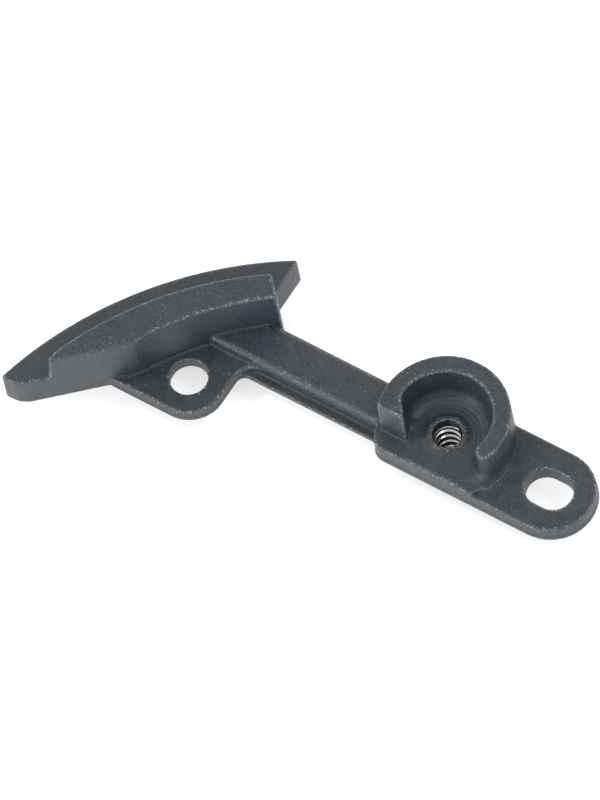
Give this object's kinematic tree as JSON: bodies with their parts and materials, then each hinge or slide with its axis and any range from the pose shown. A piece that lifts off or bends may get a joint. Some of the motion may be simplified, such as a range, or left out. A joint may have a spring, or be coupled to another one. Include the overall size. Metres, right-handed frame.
{
  "type": "shutter dog holdback lever",
  "caption": "Dark moulded holdback lever: crescent stop head, ear with a fixing hole, ribbed arm, open cup over a threaded insert, and a slotted tongue.",
  "frame": {"origin": "on the axis of the threaded hole, in the plane of the lever's flat underside", "axes": "+Z out of the cup along the threaded axis, +X along the arm towards the slotted tongue, +Y towards the closed back of the cup"},
  "size_m": [0.0986, 0.043, 0.0181],
  "materials": {
    "body": "satin, fine grain, dark anthracite grey",
    "insert": "bright, freshly cut thread"
  },
  "bodies": {
    "root": {"lever_body": "body", "threaded_insert": "insert"}
  },
  "joints": []
}
